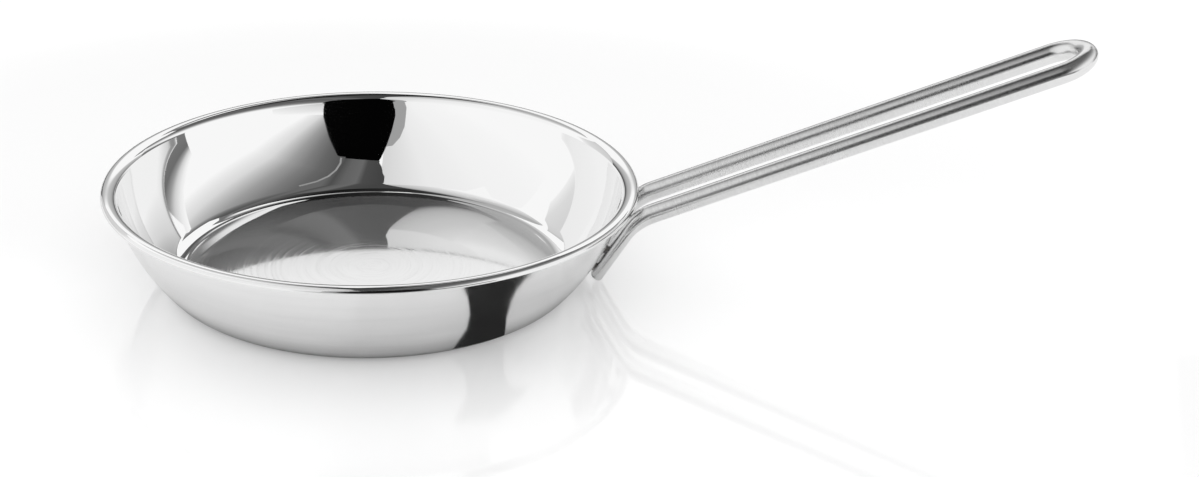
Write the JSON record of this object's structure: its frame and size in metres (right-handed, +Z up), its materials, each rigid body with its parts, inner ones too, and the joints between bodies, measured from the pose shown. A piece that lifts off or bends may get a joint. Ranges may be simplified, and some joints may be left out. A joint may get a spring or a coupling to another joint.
{
  "type": "frying pan",
  "caption": "Shallow round frying pan of bonded steel and aluminium sheet with a rolled pouring rim and a rising U-shaped rod handle that ends in a hanging loop.",
  "frame": {"origin": "centre of the flat base, on its resting face", "axes": "+Z up along the pan's own axis, +X from the axis out along the handle"},
  "size_m": [0.441, 0.248, 0.1225],
  "materials": {
    "outer_steel": "magnetic stainless steel, turned to a fine satin round the wall",
    "core_aluminium": "bare aluminium, seen only as a line in the edge of the rim",
    "inner_steel": "stainless steel with a polished wall and a finely turned floor",
    "handle_steel": "polished stainless steel with faint grinding marks across the rod",
    "weld_steel": "matt fused steel"
  },
  "bodies": {
    "root": {"base_layer": "outer_steel", "heat_core": "core_aluminium", "cooking_layer": "inner_steel", "handle_rod": "handle_steel", "weld_spots": "weld_steel"}
  },
  "joints": []
}
